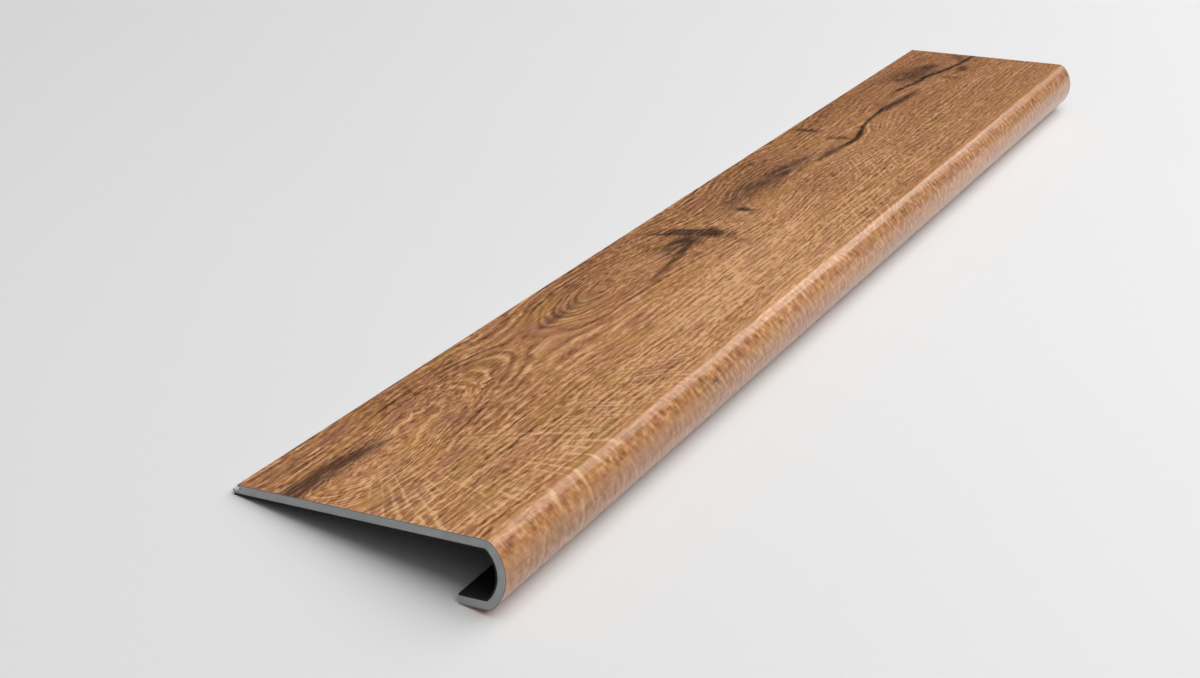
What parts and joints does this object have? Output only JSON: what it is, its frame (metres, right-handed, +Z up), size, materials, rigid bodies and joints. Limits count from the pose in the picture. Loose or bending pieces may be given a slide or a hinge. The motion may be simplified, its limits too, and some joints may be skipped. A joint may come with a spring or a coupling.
{
  "type": "stair tread",
  "caption": "Long stair tread board with a wood-look face, bent at the front into a rounded nose that hooks over the edge of a step, with a joint along the back.",
  "frame": {"origin": "floor level, under the middle of the tread as it lies unheld on its nose lip and its back edge", "axes": "+X along the tread, +Y from the rounded nose to the joint edge at the back, +Z up"},
  "size_m": [1.22, 0.1738, 0.0449],
  "materials": {
    "wood_look_vinyl": "satin vinyl face with a rustic oak print and pressed grain",
    "stone_vinyl_core": "sawn grey limestone-filled vinyl",
    "black_foam": "matt black closed-cell foam"
  },
  "bodies": {
    "root": {"wear_layer": "wood_look_vinyl", "rigid_core": "stone_vinyl_core", "foam_underlay": "black_foam"}
  },
  "joints": []
}
